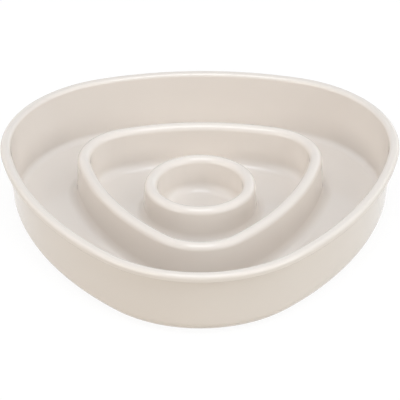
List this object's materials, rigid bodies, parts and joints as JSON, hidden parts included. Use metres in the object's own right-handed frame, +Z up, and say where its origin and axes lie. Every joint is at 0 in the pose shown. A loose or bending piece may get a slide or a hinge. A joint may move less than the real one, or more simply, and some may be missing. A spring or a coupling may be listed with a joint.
{
  "type": "slow feeder bowl",
  "caption": "Rounded triangular pet bowl with a rolled lip, a raised ridge that follows its outline, a round cup in the middle and rubber feet, made to slow a pet's eating.",
  "frame": {"origin": "centre of the footprint's box, on the plane that the rubber feet stand on; the bowl's own middle, the cup's axis, lies 7.8 mm behind it", "axes": "+Z up; the bowl's front corner points along -Y and its back side faces +Y; +X to the right seen from the front"},
  "size_m": [0.23, 0.2258, 0.0421],
  "materials": {
    "bowl_plastic": "glossy warm off-white moulded plastic",
    "foot_rubber": "matt warm grey rubber"
  },
  "bodies": {
    "root": {"bowl": "bowl_plastic", "foot_front": "foot_rubber", "foot_front_right": "foot_rubber", "foot_back_right": "foot_rubber", "foot_back": "foot_rubber", "foot_back_left": "foot_rubber", "foot_front_left": "foot_rubber"}
  },
  "joints": []
}
